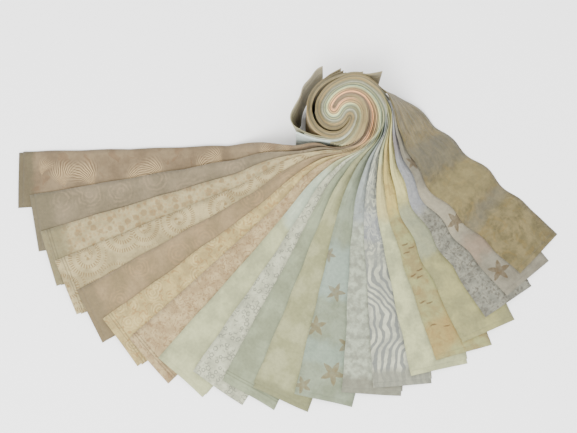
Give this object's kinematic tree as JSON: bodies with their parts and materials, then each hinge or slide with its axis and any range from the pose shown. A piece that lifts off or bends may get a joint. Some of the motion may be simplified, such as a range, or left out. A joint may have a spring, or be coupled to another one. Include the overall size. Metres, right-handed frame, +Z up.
{
  "type": "rolled quilting fabric strips, fanned out",
  "caption": "Long narrow strips of pale batik cotton, each folded double, wound together on edge into a spiral roll and spread flat on the surface as an overlapping fan",
  "frame": {"origin": "the middle of the footprint, on the surface that the roll stands on and the strips lie on", "axes": "+X to the right across the fan, -Y the way the fan opens, +Z up out of the surface"},
  "size_m": [0.6, 0.3636, 0.064],
  "materials": {
    "roll": "wound edges of pale cotton, matt",
    "strip_01": "rosy tan batik cotton with feathery rays, matt",
    "strip_02": "taupe cotton with faint rings, matt",
    "strip_03": "cream cotton with tan dots, matt",
    "strip_04": "cream cotton with golden scrolls of short dashes, matt",
    "strip_05": "warm tan cotton with faint rings, matt",
    "strip_06": "cream and tan blotched cotton, matt",
    "strip_07": "cream and peach mottled cotton, matt",
    "strip_08": "pale cream-green cotton, matt",
    "strip_09": "white cotton with little grey rings, matt",
    "strip_10": "grey-green cotton, matt",
    "strip_11": "cream and grey-green cotton, matt",
    "strip_12": "pale blue-green cotton with tan stars, matt",
    "strip_13": "white and pale grey mottled cotton, matt",
    "strip_14": "white cotton with wavy grey bands, matt",
    "strip_15": "cream and pale green cotton, matt",
    "strip_16": "yellow ochre cotton with short brown streaks, matt",
    "strip_17": "pale yellow-green cotton, matt",
    "strip_18": "lavender-grey cotton with fine scribbled sprigs, matt",
    "strip_19": "lavender-grey cotton with brown stars, matt",
    "strip_20": "olive-brown mottled cotton, matt",
    "loose_end_left": "grey-taupe cotton, matt",
    "loose_end_front": "pale blue-white cotton, matt",
    "loose_end_back": "olive-taupe cotton, matt",
    "loose_end_right": "grey-taupe cotton, matt"
  },
  "bodies": {
    "root": {"roll": "roll", "strip_01": "strip_01", "strip_02": "strip_02", "strip_03": "strip_03", "strip_04": "strip_04", "strip_05": "strip_05", "strip_06": "strip_06", "strip_07": "strip_07", "strip_08": "strip_08", "strip_09": "strip_09", "strip_10": "strip_10", "strip_11": "strip_11", "strip_12": "strip_12", "strip_13": "strip_13", "strip_14": "strip_14", "strip_15": "strip_15", "strip_16": "strip_16", "strip_17": "strip_17", "strip_18": "strip_18", "strip_19": "strip_19", "strip_20": "strip_20", "loose_end_left": "loose_end_left", "loose_end_front": "loose_end_front", "loose_end_back": "loose_end_back", "loose_end_right": "loose_end_right"}
  },
  "joints": []
}
